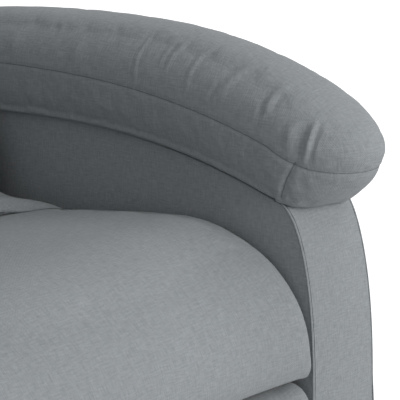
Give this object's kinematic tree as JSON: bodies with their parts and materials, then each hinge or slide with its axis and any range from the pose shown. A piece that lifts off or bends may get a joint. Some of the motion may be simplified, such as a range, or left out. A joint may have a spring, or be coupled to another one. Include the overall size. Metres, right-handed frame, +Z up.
{
  "type": "lift recliner chair",
  "caption": "Upholstered lift recliner chair with curved padded arms, a three-pillow reclining back, a folding leg rest and a motor-driven lift frame.",
  "frame": {"origin": "on the floor under the middle of the chair", "axes": "+Z up, -Y the way the sitter looks, +X the sitter's left"},
  "size_m": [0.865, 0.9175, 1.0422],
  "materials": {
    "grey_fabric": "matte woven",
    "base_paint": "satin",
    "mechanism_paint": "satin",
    "zinc_steel": "satin",
    "rod_steel": "polished",
    "aluminium_tube": "satin",
    "black_plastic": "matte",
    "button_grey": "matte",
    "timber": "sawn"
  },
  "bodies": {
    "base": {"base_rail_left": "base_paint", "base_rail_right": "base_paint", "base_cross_front": "base_paint", "base_cross_rear": "base_paint", "base_end_caps": "black_plastic", "base_feet": "black_plastic", "lift_brackets": "mechanism_paint", "actuator_clevis": "mechanism_paint", "control_box": "black_plastic"},
    "front_lift_arms": {"front_lift_arm_left": "mechanism_paint", "front_lift_arm_right": "mechanism_paint", "torque_tube": "mechanism_paint"},
    "rear_lift_arms": {"rear_lift_arm_left": "mechanism_paint", "rear_lift_arm_right": "mechanism_paint"},
    "carriage": {"carriage_rail_left": "mechanism_paint", "carriage_rail_right": "mechanism_paint", "carriage_cross_front": "mechanism_paint", "carriage_cross_rear": "mechanism_paint", "carriage_brackets": "mechanism_paint", "glide_tracks": "zinc_steel", "arm_brackets": "mechanism_paint", "arm_body_left": "grey_fabric", "arm_body_right": "grey_fabric", "arm_pad_left": "grey_fabric", "arm_pad_right": "grey_fabric", "rear_valance": "grey_fabric", "handset_holster": "black_plastic"},
    "actuator": {"actuator_housing": "black_plastic", "actuator_tube": "aluminium_tube"},
    "rod": {"actuator_rod": "rod_steel"},
    "seat": {"seat_rail_left": "timber", "seat_rail_right": "timber", "seat_rail_front": "timber", "seat_rail_rear": "timber", "seat_springs": "zinc_steel", "seat_runners": "zinc_steel", "mechanism_plate_left": "mechanism_paint", "mechanism_plate_right": "mechanism_paint", "seat_cushion": "grey_fabric"},
    "back": {"back_stile_left": "timber", "back_stile_right": "timber", "back_rail_top": "timber", "back_rail_bottom": "timber", "back_brackets": "mechanism_paint", "lumbar_pillow": "grey_fabric", "middle_pillow": "grey_fabric", "head_pillow": "grey_fabric", "back_cover": "grey_fabric"},
    "main_links": {"main_links": "mechanism_paint"},
    "long_links": {"long_links": "zinc_steel"},
    "control_links": {"control_links": "mechanism_paint"},
    "parallel_links": {"parallel_links": "zinc_steel"},
    "leg_rest": {"leg_rest_board": "timber", "leg_rest_pad": "grey_fabric", "leg_rest_brackets": "mechanism_paint"},
    "handset": {"handset_shell": "black_plastic"},
    "button_up": {"button_up": "button_grey"},
    "button_down": {"button_down": "button_grey"}
  },
  "joints": [
    {"name": "lift", "type": "hinge", "parent": "base", "child": "front_lift_arms", "pos_m": [0, -0.262, 0.09], "axis": [1, 0, 0], "range_deg": [0, 38]},
    {"name": "carriage_tilt", "type": "hinge", "parent": "front_lift_arms", "child": "carriage", "pos_m": [0, 0.04, 0.112], "axis": [1, 0, 0], "range_deg": [-14.1, 0]},
    {"name": "rear_arm_swing", "type": "hinge", "parent": "base", "child": "rear_lift_arms", "pos_m": [0, -0.222, 0.096], "axis": [1, 0, 0], "range_deg": [0, 34.3]},
    {"name": "actuator_swing", "type": "hinge", "parent": "base", "child": "actuator", "pos_m": [0, 0.17, 0.09], "axis": [1, 0, 0], "range_deg": [0, 4.8]},
    {"name": "rod_stroke", "type": "slide", "parent": "actuator", "child": "rod", "axis": [0, -0.9503, 0.3114], "range_m": [0, 0.081]},
    {"name": "seat_glide", "type": "slide", "parent": "carriage", "child": "seat", "axis": [0, -1, 0], "range_m": [0, 0.0505]},
    {"name": "recline", "type": "hinge", "parent": "seat", "child": "back", "pos_m": [0, 0.183, 0.3], "axis": [1, 0, 0], "range_deg": [-40, 0]},
    {"name": "leg_rest_lift", "type": "hinge", "parent": "seat", "child": "main_links", "pos_m": [0, -0.262, 0.262], "axis": [-1, 0, 0], "range_deg": [0, 100]},
    {"name": "long_link_swing", "type": "hinge", "parent": "main_links", "child": "long_links", "pos_m": [0, -0.24616, 0.13297], "axis": [-1, 0, 0], "range_deg": [-155.1, 0]},
    {"name": "leg_rest_turn", "type": "hinge", "parent": "long_links", "child": "leg_rest", "pos_m": [0, -0.30333, 0.30891], "axis": [-1, 0, 0], "range_deg": [0, 155.1]},
    {"name": "control_link_swing", "type": "hinge", "parent": "seat", "child": "control_links", "pos_m": [0, -0.2086, 0.3], "axis": [-1, 0, 0], "range_deg": [0, 86.1]},
    {"name": "parallel_link_swing", "type": "hinge", "parent": "main_links", "child": "parallel_links", "pos_m": [0, -0.24006, 0.08334], "axis": [-1, 0, 0], "range_deg": [-155.1, 0]},
    {"name": "handset_lift_out", "type": "slide", "parent": "carriage", "child": "handset", "axis": [0, 0, 1], "range_m": [0, 0.06]},
    {"name": "button_up_press", "type": "slide", "parent": "handset", "child": "button_up", "axis": [1, 0, 0], "range_m": [0, 0.0015], "stiffness_N_per_m": 400, "springref_m": -0.0004},
    {"name": "button_down_press", "type": "slide", "parent": "handset", "child": "button_down", "axis": [1, 0, 0], "range_m": [0, 0.0015], "stiffness_N_per_m": 400, "springref_m": -0.0004}
  ],
  "couplings": [
    {"joint": "carriage_tilt", "follows": "lift", "ratio": -0.36842},
    {"joint": "rear_arm_swing", "follows": "lift", "ratio": 0.898},
    {"joint": "actuator_swing", "follows": "lift", "ratio": 0.1242},
    {"joint": "rod_stroke", "follows": "lift", "m_per_rad": 0.1214},
    {"joint": "seat_glide", "follows": "recline", "m_per_rad": -0.07162},
    {"joint": "long_link_swing", "follows": "leg_rest_lift", "ratio": -1.55},
    {"joint": "leg_rest_turn", "follows": "leg_rest_lift", "ratio": 1.55},
    {"joint": "control_link_swing", "follows": "leg_rest_lift", "ratio": 0.86},
    {"joint": "parallel_link_swing", "follows": "leg_rest_lift", "ratio": -1.55}
  ]
}
